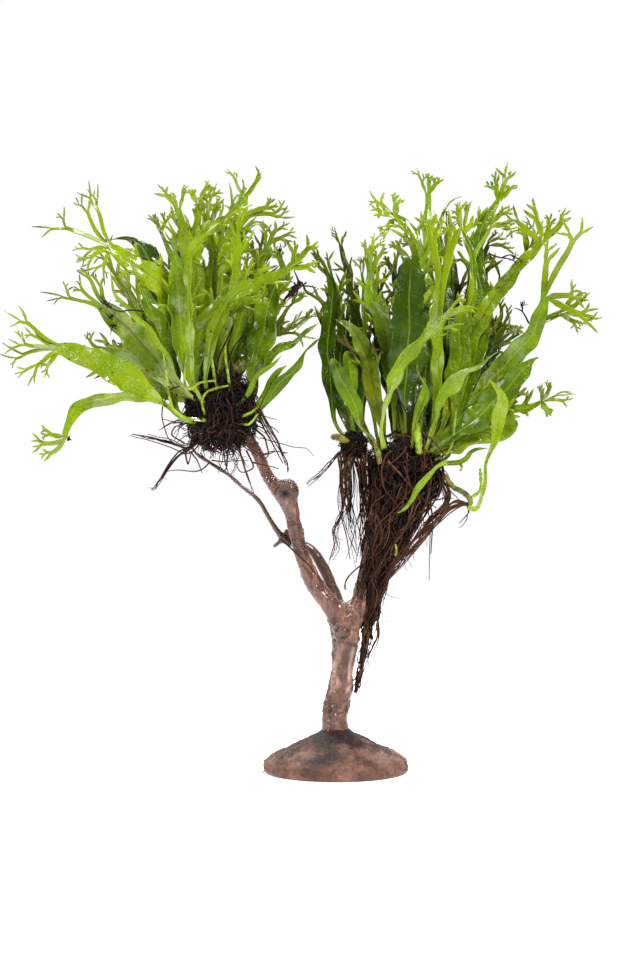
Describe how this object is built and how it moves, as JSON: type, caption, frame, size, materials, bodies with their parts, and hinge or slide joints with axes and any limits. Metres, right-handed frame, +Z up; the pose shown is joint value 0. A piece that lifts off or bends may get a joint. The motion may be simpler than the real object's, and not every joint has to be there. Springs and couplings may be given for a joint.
{
  "type": "java fern on driftwood",
  "caption": "Narrow-leaved java fern with forked leaf tips, growing in two clumps on a forked piece of driftwood that stands on a cement foot.",
  "frame": {"origin": "centre of the foot's underside", "axes": "+Z up along the trunk, -Y towards the front that the picture shows, +X to the right of that view"},
  "size_m": [0.3828, 0.1645, 0.4164],
  "materials": {
    "cement": "matte",
    "driftwood": "satin",
    "stem": "satin",
    "roots": "satin",
    "leaf": "gloss"
  },
  "bodies": {
    "root": {"foot": "cement", "trunk": "driftwood", "left_limb": "driftwood", "right_limb": "driftwood", "cross_twig": "driftwood", "left_stem": "stem", "side_stem": "stem", "right_stem": "stem", "plantlet_stem": "stem", "left_roots": "roots", "right_roots": "roots", "side_roots": "roots", "left_leaf_01": "leaf", "left_leaf_02": "leaf", "left_leaf_03": "leaf", "left_leaf_04": "leaf", "left_leaf_05": "leaf", "left_leaf_06": "leaf", "left_leaf_07": "leaf", "left_leaf_08": "leaf", "left_leaf_09": "leaf", "left_leaf_10": "leaf", "left_leaf_11": "leaf", "left_leaf_12": "leaf", "left_leaf_13": "leaf", "left_leaf_14": "leaf", "left_leaf_15": "leaf", "left_leaf_16": "leaf", "left_leaf_17": "leaf", "left_leaf_18": "leaf", "left_leaf_19": "leaf", "left_leaf_20": "leaf", "left_leaf_21": "leaf", "left_leaf_22": "leaf", "left_leaf_23": "leaf", "right_leaf_01": "leaf", "right_leaf_02": "leaf", "right_leaf_03": "leaf", "right_leaf_04": "leaf", "right_leaf_05": "leaf", "right_leaf_06": "leaf", "right_leaf_07": "leaf", "right_leaf_08": "leaf", "right_leaf_09": "leaf", "right_leaf_10": "leaf", "right_leaf_11": "leaf", "right_leaf_12": "leaf", "right_leaf_13": "leaf", "right_leaf_14": "leaf", "right_leaf_15": "leaf", "right_leaf_16": "leaf", "right_leaf_17": "leaf", "right_leaf_18": "leaf", "right_leaf_19": "leaf", "right_leaf_20": "leaf", "right_leaf_21": "leaf", "right_leaf_22": "leaf", "right_leaf_23": "leaf", "plantlet_leaf": "leaf", "hanging_leaf": "leaf"}
  },
  "joints": []
}
